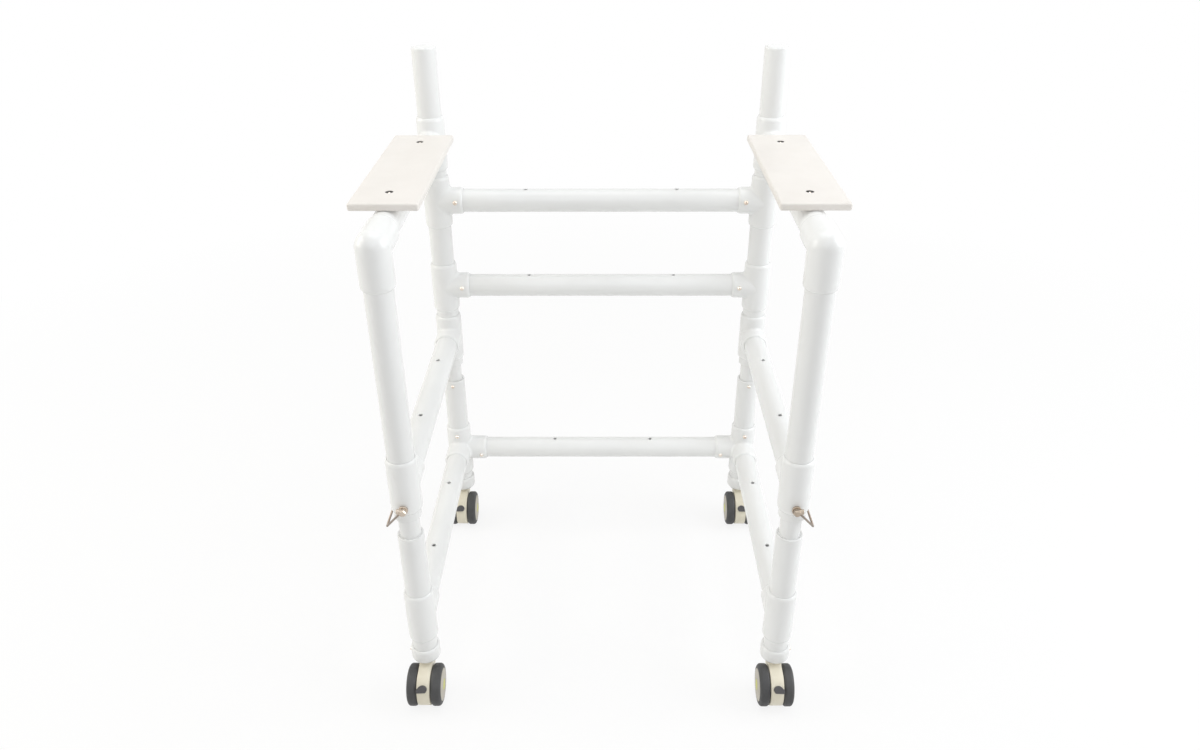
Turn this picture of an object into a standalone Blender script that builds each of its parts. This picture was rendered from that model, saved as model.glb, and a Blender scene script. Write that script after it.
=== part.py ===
"""Pool walker: a white plastic pipe frame on four braked twin-wheel casters.

The user stands between the two side frames, open at the rear, and leans on two flat armrest boards.
The upper frame telescopes on the lower one at all four legs and is held by wire lock pins.
Metres, +Z up, +Y is the way the user walks, and the origin is on the floor under the middle of the box.
"""

import math

import bmesh
import bpy
from mathutils import Matrix, Vector

# Pipe and tube stock
pipe_radius = 0.0211
pipe_wall = 0.0036
tube_radius = 0.0167
tube_wall = 0.0034
socket_gap = 0.0003        # round a pipe in its socket
seat_gap = 0.0005          # between a pipe's end and the stop of its socket
contact_gap = 0.0003       # between two pieces that rest on each other
running_gap = 0.0004       # round a pin or an axle in its hole
fitting_wall = 0.0032
branch_relief = 0.0002     # a branch's hub is this much slimmer than the run it grows from

# Fittings, measured from the crossing of their axes
tee_reach = 0.048
tee_branch_reach = 0.0485
tee_stop = 0.0234
lower_tee_reach = 0.050
corner_reach = 0.058
corner_stop = 0.0250
elbow_reach = 0.060
elbow_stop = 0.0270

# Lower frame
leg_spacing = 0.600
leg_depth = 0.490
caster_height = 0.077
cap_length = 0.029
cap_floor = 0.005
cap_edge = 0.0035
lower_nipple_show = 0.021
lower_leg_show = 0.120
inner_tube_overlap = 0.100

# Height setting
telescope_show = 0.036
sleeve_show = 0.0145
pin_above_hub = 0.0145
hole_pitch = 0.0254
hole_count = 7
inner_tube_above_holes = 0.025

# Upper frame: the pipe that shows between the fittings of a front post
low_nipple_show = 0.0125
long_nipple_show = 0.074
high_nipple_show = 0.011
handle_show = 0.117
plug_thickness = 0.012

# Armrest boards
board_width = 0.100
board_length = 0.348
board_thickness = 0.011
board_edge = 0.0025
board_behind_elbow = 0.016
screw_inset_rear = 0.051
screw_inset_front = 0.043
screw_radius = 0.0025
screw_head_radius = 0.0058
screw_head_height = 0.0032

# Water holes along the tops of the rails and cross bars, at these places from each pipe's middle
drain_radius = 0.0033
lower_rail_drains = (-0.0985, 0.0895)
upper_rail_drains = (-0.0860, 0.1030)
lower_bar_drains = (-0.0975, 0.1040)
upper_bar_drains = (-0.1370, 0.1395)

# Casters
wheel_radius = 0.0355
wheel_width = 0.0177
tyre_thickness = 0.0080
outer_shoulder = 0.0036
inner_shoulder = 0.0034
wheel_dome = 0.0016        # the middle of the outer face stands this far beyond its rim
hub_cover_radius = 0.0093
wheel_side_gap = 0.0010
trail = 0.028
hood_width = 0.021
hood_radius = 0.0346
hood_boss = 0.0110
hood_shoulder = 0.0030
hood_headroom = 0.0040
axle_radius = 0.0040
axle_cover = 0.0040
stem_radius = 0.0050
stem_collar_radius = 0.0085
stem_head = 0.012          # room for it above the cap's floor
brake_pivot_radius = 0.0265
brake_pivot_angle = 170
brake_slot_width = 0.0120
brake_slot_depth = 0.0095  # inward from the pivot
brake_arm_depth = 0.0060
brake_pedal_width = 0.0168
brake_pedal_thickness = 0.0050
brake_pedal_gap = 0.0012
brake_pedal_top = 136      # degrees about the axle, from the front
brake_pedal_foot = 157
brake_pedal_edge = 2       # the pedal's outer face is this many degrees shorter at each end
trunnion_radius = 0.0020

# Wire lock pins
pin_radius = 0.0040
pin_head_radius = 0.0076
pin_head_thickness = 0.0120
pin_tail_show = 0.0169
wire_radius = 0.0016
wire_gap = 0.0006
bail_angle = 53.3          # the bail's plane, below level

# Faces round each round piece
pipe_sides = 12
wheel_sides = 16
hole_sides = 6
rod_sides = 8

# Worked out from the sizes above
pipe_bore = pipe_radius - pipe_wall
socket_radius = pipe_radius + socket_gap
fitting_radius = socket_radius + fitting_wall
board_screw_rear = elbow_reach + board_behind_elbow + screw_inset_rear
board_screw_front = elbow_reach + board_behind_elbow + board_length - screw_inset_front

cap_top = caster_height + cap_length
lower_rail_z = cap_top + lower_nipple_show + lower_tee_reach
lower_leg_top = lower_rail_z + lower_tee_reach + lower_leg_show
sleeve_bottom = lower_leg_top + telescope_show
upper_rail_z = sleeve_bottom + sleeve_show + tee_reach
pin_z = sleeve_bottom + sleeve_show + pin_above_hub
middle_bar_z = upper_rail_z + low_nipple_show + 2 * tee_reach
top_bar_z = middle_bar_z + long_nipple_show + 2 * tee_reach
armrest_z = top_bar_z + high_nipple_show + 2 * tee_reach
handle_top = armrest_z + tee_reach + handle_show
inner_tube_top = pin_z + (hole_count - 1) * hole_pitch + inner_tube_above_holes
hood_top = caster_height - hood_headroom

pin_head_seat = fitting_radius + running_gap
pin_head_outer = pin_head_seat + pin_head_thickness
pedal_inner = hood_radius + brake_pedal_gap
pedal_outer = pedal_inner + brake_pedal_thickness
pedal_reach = trail - pedal_outer * math.cos(math.radians(brake_pedal_foot - brake_pedal_edge))
rear_reach = max(trail + wheel_radius, pedal_reach, pin_head_outer)
front_reach = max(wheel_radius - trail, pin_head_outer)
rear_y = (rear_reach - front_reach - leg_depth) / 2
front_y = rear_y + leg_depth
side_x = leg_spacing / 2

cut_past = 0.002           # how far a cutter passes the face it cuts
forward = (0, 1, 0)
backward = (0, -1, 0)
sides = {"left": -1, "right": 1}
corners = {
    "rear_left": (-1, -1),
    "rear_right": (1, -1),
    "front_left": (-1, 1),
    "front_right": (1, 1),
}

white_pipe = ((0.86, 0.86, 0.85), 0.22, 0)
white_fitting = ((0.88, 0.88, 0.87), 0.25, 0)
cream_board = ((0.84, 0.80, 0.74), 0.45, 0)
lime_wheel = ((0.40, 0.41, 0.24), 0.50, 0)
beige_plastic = ((0.66, 0.60, 0.48), 0.42, 0)
dark_plastic = ((0.05, 0.05, 0.055), 0.55, 0)
bright_steel = ((0.62, 0.52, 0.44), 0.30, 1)


def start_scene():
    """Clears the scene and makes one collection for the walker and one for its cutters."""
    for old in list(bpy.data.objects):
        bpy.data.objects.remove(old)
    made = []
    for name in ("pool_walker", "cutters"):
        collection = bpy.data.collections.new(name)
        bpy.context.scene.collection.children.link(collection)
        made.append(collection)
    return made


walker, cutters = start_scene()


def carrier(name, location=(0, 0, 0)):
    """An empty that carries the pieces of one moving assembly."""
    empty = bpy.data.objects.new(name, None)
    empty.location = location
    walker.objects.link(empty)
    return empty


def place(piece, parent, finish, location, rotation=(0, 0, 0)):
    """Puts a piece in its place under its carrier, with its own material."""
    colour, roughness, metallic = finish
    material = bpy.data.materials.new(piece.name + "_finish")
    material.use_nodes = True
    shader = material.node_tree.nodes["Principled BSDF"]
    shader.inputs["Base Color"].default_value = (*colour, 1)
    shader.inputs["Roughness"].default_value = roughness
    shader.inputs["Metallic"].default_value = metallic
    piece.data.materials.append(material)
    piece.parent = parent
    piece.location = location
    piece.rotation_euler = rotation
    walker.objects.link(piece)
    return piece


def turned(name, profile, around, ring=False):
    """A profile of (radius, height) points turned about Z, down its outer side from the top."""
    mesh = bpy.data.meshes.new(name)
    points = [(radius, 0, height) for radius, height in profile]
    edges = [(i, i + 1) for i in range(len(points) - 1)]
    if ring:
        edges.append((len(points) - 1, 0))
    mesh.from_pydata(points, edges, [])
    piece = bpy.data.objects.new(name, mesh)
    screw = piece.modifiers.new("turn", "SCREW")
    screw.steps = around
    screw.render_steps = around
    screw.use_merge_vertices = True
    screw.merge_threshold = 0.00001
    screw.use_smooth_shade = around > hole_sides
    return piece


def stepped(steps):
    """The profile of a solid bar whose (radius, top, bottom) steps run from the top down."""
    points = [(0, steps[0][1])]
    for radius, top, bottom in steps:
        points += [(radius, top), (radius, bottom)]
    points.append((0, steps[-1][2]))
    return points


def rod(name, radius, top, bottom, around=pipe_sides):
    return turned(name, stepped([(radius, top, bottom)]), around)


def facing(direction):
    """The rotation that points a turned piece's Z along a direction."""
    return Vector(direction).to_track_quat("Z", "Y").to_euler()


def shaped(piece, tool, operation, location=(0, 0, 0), rotation=(0, 0, 0)):
    """Cuts a piece with a tool or joins the two. The tool's place is in the piece's own frame."""
    cutters.objects.link(tool)
    tool.parent = piece
    tool.location = location
    tool.rotation_euler = rotation
    tool.hide_render = True
    tool.display_type = "WIRE"
    step = piece.modifiers.new(tool.name, "BOOLEAN")
    step.operation = operation
    step.solver = "EXACT"
    step.object = tool


def outline(name, points, half_width):
    """A flat outline in Y and Z, filled and given its width along X."""
    curve = bpy.data.curves.new(name, "CURVE")
    curve.dimensions = "2D"
    curve.fill_mode = "BOTH"
    curve.extrude = half_width
    spline = curve.splines.new("POLY")
    spline.points.add(len(points) - 1)
    for point, (across, up) in zip(spline.points, points):
        point.co = (across, up, 0, 1)
    spline.use_cyclic_u = True
    stand_up = Matrix(((0, 0, 1, 0), (1, 0, 0, 0), (0, 1, 0, 0), (0, 0, 0, 1)))
    return solid_curve(name, curve, stand_up)


def solid_curve(name, curve, turn):
    """The closed mesh of a curve, with its caps welded on, turned by a matrix."""
    source = bpy.data.objects.new(name + "_curve", curve)
    bpy.context.scene.collection.objects.link(source)
    graph = bpy.context.evaluated_depsgraph_get()
    mesh = bpy.data.meshes.new_from_object(source.evaluated_get(graph))
    bpy.data.objects.remove(source)
    mesh.transform(turn)
    work = bmesh.new()
    work.from_mesh(mesh)
    bmesh.ops.remove_doubles(work, verts=work.verts, dist=0.00001)
    bmesh.ops.recalc_face_normals(work, faces=work.faces)
    work.to_mesh(mesh)
    work.free()
    return bpy.data.objects.new(name, mesh)


# Fittings

def fitting(name, parent, location, outside, inside, branches, pin_height=None):
    """A moulded fitting: a stepped upright, a stepped bore, and blind side sockets.

    Each branch is (direction, height, reach, stop), with heights measured from the fitting's origin.
    """
    body = turned(name, stepped(outside), pipe_sides)
    place(body, parent, white_fitting, location)
    for number, (direction, height, reach, stop) in enumerate(branches):
        hub = rod(f"{name}_hub_{number}", fitting_radius - branch_relief, reach, 0)
        shaped(body, hub, "UNION", (0, 0, height), facing(direction))
    shaped(body, turned(f"{name}_bore", stepped(inside), pipe_sides), "DIFFERENCE")
    if pin_height is not None:
        pin_hole(body, f"{name}_pin_hole", pin_height)
    for number, (direction, height, reach, stop) in enumerate(branches):
        socket = rod(f"{name}_socket_{number}", socket_radius, reach + cut_past, stop)
        shaped(body, socket, "DIFFERENCE", (0, 0, height), facing(direction))
    return body


def pin_hole(piece, name, height):
    """A hole from front to back for a lock pin."""
    reach = fitting_radius + cut_past
    hole = rod(name, pin_radius + running_gap, reach, -reach, hole_sides)
    shaped(piece, hole, "DIFFERENCE", (0, 0, height), facing(forward))


def lower_fitting(name, parent, location, reach, stop, branches):
    """A fitting of the lower frame, with the short pipe that stands in the caster's cap below it."""
    foot = caster_height + cap_floor + stem_head + seat_gap - lower_rail_z
    outside = [(fitting_radius, reach, -reach), (pipe_radius, -reach, foot)]
    inside = [(socket_radius, reach + cut_past, stop), (pipe_bore, stop, foot - cut_past)]
    return fitting(name, parent, location, outside, inside, branches)


def make_lower_fittings(parent):
    for side, across in sides.items():
        location = (across * side_x, rear_y, lower_rail_z)
        branches = [(forward, 0, tee_branch_reach, tee_stop)]
        lower_fitting(f"lower_side_tee_{side}", parent, location, lower_tee_reach, tee_stop, branches)
        location = (across * side_x, front_y, lower_rail_z)
        branches = [
            (backward, 0, corner_reach, corner_stop),
            ((-across, 0, 0), 0, corner_reach, corner_stop),
        ]
        lower_fitting(f"lower_corner_fitting_{side}", parent, location, corner_reach, corner_stop, branches)


def make_rear_tees(parent):
    """Tees at the foot of the rear legs, each with the sleeve that slides on the inner tube."""
    sleeve_end = sleeve_bottom - upper_rail_z
    outside = [(fitting_radius, tee_reach, -tee_reach), (pipe_radius, -tee_reach, sleeve_end)]
    inside = [(socket_radius, tee_reach + cut_past, tee_stop), (pipe_bore, tee_stop, sleeve_end - cut_past)]
    for side, across in sides.items():
        branches = [(forward, 0, tee_branch_reach, tee_stop)]
        location = (across * side_x, rear_y, upper_rail_z)
        fitting(f"upper_side_tee_{side}", parent, location, outside, inside, branches, pin_z - upper_rail_z)


def make_front_posts(parent):
    """The front posts: two pairs of close-coupled tees, with a pipe between the pairs."""
    sleeve_end = sleeve_bottom - upper_rail_z
    bar = middle_bar_z - upper_rail_z
    low_outside = [
        (fitting_radius, bar + tee_reach, bar - tee_reach), (pipe_radius, bar - tee_reach, tee_reach),
        (fitting_radius, tee_reach, -tee_reach), (pipe_radius, -tee_reach, sleeve_end),
    ]
    low_inside = [
        (socket_radius, bar + tee_reach + cut_past, bar + tee_stop),
        (pipe_bore, bar + tee_stop, sleeve_end - cut_past),
    ]
    rail = armrest_z - top_bar_z
    long_end = middle_bar_z + tee_stop + seat_gap - top_bar_z
    high_outside = [
        (fitting_radius, rail + tee_reach, rail - tee_reach), (pipe_radius, rail - tee_reach, tee_reach),
        (fitting_radius, tee_reach, -tee_reach), (pipe_radius, -tee_reach, long_end),
    ]
    high_inside = [
        (socket_radius, rail + tee_reach + cut_past, rail + tee_stop),
        (pipe_bore, rail + tee_stop, long_end - cut_past),
    ]
    for side, across in sides.items():
        inward = (-across, 0, 0)
        branches = [(backward, 0, tee_branch_reach, tee_stop), (inward, bar, tee_branch_reach, tee_stop)]
        location = (across * side_x, front_y, upper_rail_z)
        fitting(f"post_lower_tees_{side}", parent, location, low_outside, low_inside, branches,
                pin_z - upper_rail_z)
        branches = [(inward, 0, tee_branch_reach, tee_stop), (backward, rail, tee_branch_reach, tee_stop)]
        location = (across * side_x, front_y, top_bar_z)
        fitting(f"post_upper_tees_{side}", parent, location, high_outside, high_inside, branches)


def make_elbows(parent):
    """Elbows on the rear legs, round at the corner, with one hub down and one forward."""
    quarter_steps = pipe_sides // 4
    for side, across in sides.items():
        name = f"elbow_{side}"
        dome = [(0, fitting_radius)]
        for step in range(1, quarter_steps + 1):
            angle = math.pi / 2 * (1 - step / quarter_steps)
            dome.append((fitting_radius * math.cos(angle), fitting_radius * math.sin(angle)))
        body = turned(name, [*dome, (fitting_radius, -elbow_reach), (0, -elbow_reach)], pipe_sides)
        place(body, parent, white_fitting, (across * side_x, rear_y, armrest_z))
        hub = rod(f"{name}_hub", fitting_radius - branch_relief, elbow_reach, 0)
        shaped(body, hub, "UNION", rotation=facing(forward))
        for part, direction in (("leg", (0, 0, -1)), ("rail", forward)):
            socket = rod(f"{name}_{part}_socket", socket_radius, elbow_reach + cut_past, elbow_stop)
            shaped(body, socket, "DIFFERENCE", rotation=facing(direction))


# Pipes

def make_pipe(name, parent, start, end, holes=()):
    """A pipe from start to end, with holes (distance from the middle, radius) through its top."""
    start = Vector(start)
    end = Vector(end)
    half = (end - start).length / 2
    profile = [(pipe_bore, half), (pipe_radius, half), (pipe_radius, -half), (pipe_bore, -half)]
    body = turned(name, profile, pipe_sides, ring=True)
    rotation = facing(end - start)
    place(body, parent, white_pipe, (start + end) / 2, rotation)
    up = rotation.to_matrix().inverted() @ Vector((0, 0, 1))
    for number, (offset, radius) in enumerate(holes):
        hole = rod(f"{name}_hole_{number}", radius, pipe_radius + cut_past, 0, hole_sides)
        shaped(body, hole, "DIFFERENCE", (0, 0, offset), facing(up))
    return body


def drains(places):
    return [(place, drain_radius) for place in places]


def make_rails(lower, upper):
    """Side rails, armrest rails and cross bars, each from stop to stop."""
    tee_end = tee_stop + seat_gap
    corner_end = corner_stop + seat_gap
    rail_middle = (rear_y + elbow_stop + front_y - tee_stop) / 2
    pilots = [
        (rear_y + board_screw_rear - rail_middle, screw_radius),
        (rear_y + board_screw_front - rail_middle, screw_radius),
    ]
    for side, across in sides.items():
        x = across * side_x
        make_pipe(f"lower_side_rail_{side}", lower, (x, rear_y + tee_end, lower_rail_z),
                  (x, front_y - corner_end, lower_rail_z), drains(lower_rail_drains))
        make_pipe(f"upper_side_rail_{side}", upper, (x, rear_y + tee_end, upper_rail_z),
                  (x, front_y - tee_end, upper_rail_z), drains(upper_rail_drains))
        make_pipe(f"armrest_rail_{side}", upper, (x, rear_y + elbow_stop + seat_gap, armrest_z),
                  (x, front_y - tee_end, armrest_z), pilots)
    for name, parent, height, end, places in (
        ("lower_cross_bar", lower, lower_rail_z, side_x - corner_end, lower_bar_drains),
        ("middle_cross_bar", upper, middle_bar_z, side_x - tee_end, upper_bar_drains),
        ("top_cross_bar", upper, top_bar_z, side_x - tee_end, upper_bar_drains),
    ):
        make_pipe(name, parent, (-end, front_y, height), (end, front_y, height), drains(places))


def make_uprights(upper):
    """Rear leg pipes, and handle posts closed by flat plugs."""
    for side, across in sides.items():
        x = across * side_x
        make_pipe(f"rear_leg_pipe_{side}", upper, (x, rear_y, upper_rail_z + tee_stop + seat_gap),
                  (x, rear_y, armrest_z - elbow_stop - seat_gap))
        foot = tee_stop + seat_gap
        top = handle_top - armrest_z
        edge = pipe_wall / 4
        profile = [
            (0, top), (pipe_radius - edge, top), (pipe_radius, top - edge), (pipe_radius, foot),
            (pipe_bore, foot), (pipe_bore, top - plug_thickness), (0, top - plug_thickness),
        ]
        post = turned(f"handle_post_{side}", profile, pipe_sides)
        place(post, upper, white_pipe, (x, front_y, armrest_z))


def make_lower_legs(parent):
    """Lower legs, each with the thinner tube fixed in it that carries the row of pin holes."""
    tube_bore = tube_radius - tube_wall
    top = inner_tube_top - pin_z
    step = lower_leg_top - pin_z
    upper_part = [(tube_bore, top), (tube_radius, top), (tube_radius, step), (pipe_radius, step)]
    for corner, (across, along) in corners.items():
        name = f"lower_leg_{corner}"
        stop = tee_stop if along < 0 else corner_stop
        foot = lower_rail_z + stop + seat_gap - pin_z
        tube_end = step - inner_tube_overlap
        lower_part = [(pipe_radius, foot), (pipe_bore, foot), (pipe_bore, tube_end), (tube_bore, tube_end)]
        leg = turned(name, upper_part + lower_part, pipe_sides, ring=True)
        y = rear_y if along < 0 else front_y
        place(leg, parent, white_pipe, (across * side_x, y, pin_z))
        for number in range(hole_count):
            pin_hole(leg, f"{name}_hole_{number}", number * hole_pitch)


# Armrest boards

def make_boards(parent):
    """Flat boards with eased edges and two countersunk holes, on top of the armrest rails."""
    for side, across in sides.items():
        name = f"armrest_board_{side}"
        bpy.ops.mesh.primitive_cube_add(size=1)
        body = bpy.context.active_object
        body.users_collection[0].objects.unlink(body)
        body.name = name
        body.data.transform(Matrix.Diagonal((board_width, board_length, board_thickness, 1)))
        bevel = body.modifiers.new("eased_edges", "BEVEL")
        bevel.width = board_edge
        bevel.segments = 1
        centre_y = rear_y + elbow_reach + board_behind_elbow + board_length / 2
        centre_z = armrest_z + pipe_radius + contact_gap + board_thickness / 2
        place(body, parent, cream_board, (across * side_x, centre_y, centre_z))
        for number, y in enumerate((board_screw_rear, board_screw_front)):
            profile = [
                (0, cut_past), (screw_head_radius + cut_past, cut_past), (screw_radius, -screw_head_height),
                (screw_radius, -board_thickness - cut_past), (0, -board_thickness - cut_past),
            ]
            hole = turned(f"{name}_screw_hole_{number}", profile, rod_sides)
            shaped(body, hole, "DIFFERENCE", (0, rear_y + y - centre_y, board_thickness / 2))


# Casters

def about_axle(radius, degrees):
    """A point round the axle, in Y and Z of the caster, whose origin is on the floor under its stem."""
    angle = math.radians(degrees)
    return (radius * math.cos(angle) - trail, radius * math.sin(angle) + wheel_radius)


def arc(radius, start, end, steps):
    return [about_axle(radius, start + (end - start) * step / steps) for step in range(steps + 1)]


def make_caps(parent):
    """Caps under the legs, each with a hole in its floor in which the caster's stem turns."""
    stem_hole = stem_radius + running_gap
    profile = [
        (stem_hole, cap_floor), (socket_radius, cap_floor), (socket_radius, cap_length),
        (fitting_radius, cap_length), (fitting_radius, cap_edge), (fitting_radius - cap_edge, 0),
        (stem_hole, 0),
    ]
    for corner, (across, along) in corners.items():
        cap = turned(f"caster_cap_{corner}", profile, pipe_sides, ring=True)
        y = rear_y if along < 0 else front_y
        place(cap, parent, white_fitting, (across * side_x, y, caster_height))


def make_hood(name, parent):
    """A round web between the wheels that rises to the stem fixed in its top, with the axle through it."""
    points = arc(hood_radius, 108, 340, 11)
    points += [
        (hood_boss, wheel_radius + hood_radius / 2), (hood_boss, hood_top - hood_shoulder),
        (hood_boss - hood_shoulder, hood_top), (-hood_boss, hood_top),
        (-hood_boss - hood_shoulder, hood_top - hood_shoulder),
    ]
    body = outline(name, points, hood_width / 2)
    place(body, parent, beige_plastic, (0, 0, 0))
    slot_start = brake_pivot_angle - 43
    slot_end = brake_pivot_angle + 27
    slot_points = arc(brake_pivot_radius - brake_slot_depth, slot_start, slot_end, 4)
    slot_points += arc(pedal_outer, slot_end, slot_start, 4)
    shaped(body, outline(f"{name}_brake_slot", slot_points, brake_slot_width / 2), "DIFFERENCE")
    sideways = facing((1, 0, 0))
    reach = hood_width / 2 + cut_past
    trunnion_hole = rod(f"{name}_trunnion_hole", trunnion_radius + running_gap, reach, -reach, hole_sides)
    pivot = about_axle(brake_pivot_radius, brake_pivot_angle)
    shaped(body, trunnion_hole, "DIFFERENCE", (0, *pivot), sideways)
    head_seat = caster_height + cap_floor + contact_gap
    collar_top = caster_height - contact_gap
    stem = [
        (stem_collar_radius, head_seat + stem_head - contact_gap, head_seat),
        (stem_radius, head_seat, collar_top), (stem_collar_radius, collar_top, hood_top - hood_shoulder),
    ]
    shaped(body, turned(f"{name}_stem", stepped(stem), pipe_sides), "UNION")
    reach = hood_width / 2 + wheel_side_gap + wheel_width - axle_cover - seat_gap
    axle = rod(f"{name}_axle", axle_radius, reach, -reach, rod_sides)
    shaped(body, axle, "UNION", (0, -trail, wheel_radius), sideways)


def make_brake(name, parent, across):
    """A foot pedal on a lever that rocks in the hood's slot on two short trunnions."""
    pivot = about_axle(brake_pivot_radius, brake_pivot_angle)

    def from_pivot(points):
        return [(y - pivot[0], z - pivot[1]) for y, z in points]

    arm = arc(brake_pivot_radius - brake_arm_depth, brake_pivot_angle - 20, brake_pivot_angle + 16, 2)
    arm += arc(hood_radius - contact_gap, brake_pivot_angle + 14, brake_pivot_angle, 1)
    arm += arc((pedal_inner + pedal_outer) / 2, brake_pedal_foot - 3, brake_pedal_top + 7, 1)
    body = outline(name, from_pivot(arm), brake_slot_width / 2 - contact_gap)
    place(body, parent, dark_plastic, (0, *pivot))
    pedal = arc(pedal_inner, brake_pedal_top, brake_pedal_foot, 3)
    pedal += arc(pedal_outer, brake_pedal_foot - brake_pedal_edge, brake_pedal_top + brake_pedal_edge, 3)
    outward = across * (hood_width - brake_pedal_width) / 2
    pad = outline(f"{name}_pad", from_pivot(pedal), brake_pedal_width / 2)
    shaped(body, pad, "UNION", (outward, 0, 0))
    reach = hood_width / 2 - seat_gap
    trunnions = rod(f"{name}_trunnions", trunnion_radius, reach, -reach, hole_sides)
    shaped(body, trunnions, "UNION", rotation=facing((1, 0, 0)))


def make_wheel(name, parent, side):
    """A wheel with a grey tread moulded on and a domed outer face. Side is -1 or 1 along X."""
    corner_stretch = 1 / math.cos(math.pi / wheel_sides)
    tread = wheel_radius * corner_stretch
    seat = (wheel_radius - tyre_thickness) * corner_stretch
    dome = wheel_width + wheel_dome
    bore = axle_radius + running_gap
    bore_end = wheel_width - axle_cover
    profile = [
        (0, dome), (hub_cover_radius, dome - wheel_dome / 8), (seat, wheel_width),
        ((seat + tread) / 2, wheel_width - outer_shoulder / 4), (tread, wheel_width - outer_shoulder),
        (tread, inner_shoulder), (tread - inner_shoulder, 0), (bore, 0), (bore, bore_end), (0, bore_end),
    ]
    wheel = turned(name, profile, wheel_sides)
    place(wheel, parent, lime_wheel, (side * (hood_width / 2 + wheel_side_gap), -trail, wheel_radius))
    half_step = Matrix.Rotation(math.pi / wheel_sides, 3, "Z")
    outward = Vector((side, 0, 0)).to_track_quat("Z", "Y").to_matrix()
    wheel.rotation_euler = (outward @ half_step).to_euler()


def make_casters():
    for corner, (across, along) in corners.items():
        y = rear_y if along < 0 else front_y
        caster = carrier(f"caster_{corner}", (across * side_x, y, 0))
        make_hood(f"caster_hood_{corner}", caster)
        make_brake(f"brake_pedal_{corner}", caster, across)
        make_wheel(f"wheel_outer_{corner}", caster, across)
        make_wheel(f"wheel_inner_{corner}", caster, -across)


# Wire lock pins

def bail_axes(across):
    """The bail's own plane: its outward and downward direction, and the direction square to the plane."""
    level = math.cos(math.radians(bail_angle))
    drop = math.sin(math.radians(bail_angle))
    return Vector((across * level, 0, -drop)), Vector((across * drop, 0, level))


def make_pin(name, parent, across, along, location):
    """A steel pin with a hexagon head, cross-drilled for the end of its bail."""
    tail = -fitting_radius - pin_tail_show
    steps = [
        (pin_head_radius, pin_head_outer, pin_head_seat), (pin_radius, pin_head_seat, tail),
    ]
    body = turned(name, stepped(steps), hole_sides)
    place(body, parent, bright_steel, location, facing((0, along, 0)))
    lift = bail_axes(across)[1]
    own_lift = body.rotation_euler.to_matrix().inverted() @ lift
    cross_hole = rod(f"{name}_cross_hole", wire_radius + seat_gap, 2 * pin_head_radius,
                     -2 * pin_head_radius, hole_sides)
    head_middle = pin_head_seat + pin_head_thickness / 2
    shaped(body, cross_hole, "DIFFERENCE", (0, 0, head_middle), facing(own_lift))


def make_bail(name, parent, across, along, location):
    """A springy wire bent to a V, from the pin's head round the side of the leg to the pin's tail."""
    out, lift = bail_axes(across)
    head_middle = pin_head_seat + pin_head_thickness / 2
    tail = -(fitting_radius + pin_tail_show + wire_gap + wire_radius)
    hook = tail + 0.008
    route = [
        (head_middle, 0, -0.0072), (head_middle, 0, 0.0095), (head_middle - 0.003, 0.016, 0.011),
        (0.002, 0.058, 0.007), (-0.003, 0.062, 0.006), (-0.008, 0.058, 0.007),
        (hook, 0.026, 0.011), (tail, 0.012, 0.006), (tail, -0.005, 0),
    ]
    curve = bpy.data.curves.new(name, "CURVE")
    curve.dimensions = "3D"
    curve.bevel_depth = wire_radius
    curve.bevel_resolution = 1
    curve.use_fill_caps = True
    spline = curve.splines.new("POLY")
    spline.points.add(len(route) - 1)
    for point, (outward, across_leg, rise) in zip(spline.points, route):
        bend = Vector((0, along * (outward - head_middle), 0)) + out * across_leg + lift * rise
        point.co = (*bend, 1)
    wire = solid_curve(name, curve, Matrix())
    x, y, z = location
    place(wire, parent, bright_steel, (x, y + along * head_middle, z))


def make_lock_pins(parent):
    for corner, (across, along) in corners.items():
        location = (across * side_x, rear_y if along < 0 else front_y, pin_z)
        make_pin(f"lock_pin_{corner}", parent, across, along, location)
        make_bail(f"wire_bail_{corner}", parent, across, along, location)


lower_frame = carrier("lower_frame")
upper_frame = carrier("upper_frame")
make_lower_fittings(lower_frame)
make_lower_legs(lower_frame)
make_caps(lower_frame)
make_rear_tees(upper_frame)
make_front_posts(upper_frame)
make_elbows(upper_frame)
make_rails(lower_frame, upper_frame)
make_uprights(upper_frame)
make_boards(upper_frame)
make_casters()
make_lock_pins(upper_frame)
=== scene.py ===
"""The looks of the pool walker, section by section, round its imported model.

Metres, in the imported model's frame: +Z up, +Y the way the user walks, the floor at Z = 0.
"""

import math

import bmesh
import bpy
from mathutils import Matrix, Vector


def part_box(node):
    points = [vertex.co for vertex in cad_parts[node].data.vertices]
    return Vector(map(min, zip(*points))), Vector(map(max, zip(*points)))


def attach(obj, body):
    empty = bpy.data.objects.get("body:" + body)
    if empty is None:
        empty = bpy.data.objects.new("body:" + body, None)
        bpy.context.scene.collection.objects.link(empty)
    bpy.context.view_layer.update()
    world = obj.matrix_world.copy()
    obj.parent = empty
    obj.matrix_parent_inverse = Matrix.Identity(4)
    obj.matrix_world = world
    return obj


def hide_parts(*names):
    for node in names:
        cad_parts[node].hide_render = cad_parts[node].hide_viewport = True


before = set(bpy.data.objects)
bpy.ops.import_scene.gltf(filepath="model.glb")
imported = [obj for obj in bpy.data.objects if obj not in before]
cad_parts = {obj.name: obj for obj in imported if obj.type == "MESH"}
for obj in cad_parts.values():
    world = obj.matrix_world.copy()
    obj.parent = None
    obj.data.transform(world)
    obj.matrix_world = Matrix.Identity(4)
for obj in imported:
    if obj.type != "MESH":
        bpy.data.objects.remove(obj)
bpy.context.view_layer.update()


# Lower legs. Each is a white PVC pipe cemented into the lower fittings, with a thinner white tube fixed in
# its top by a small screw. The tube slides in the upper frame and is cross-drilled with seven pin holes.

pipe_radius = 0.0211
pipe_bore = 0.0175
tube_radius = 0.0167
tube_bore = 0.0133

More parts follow.
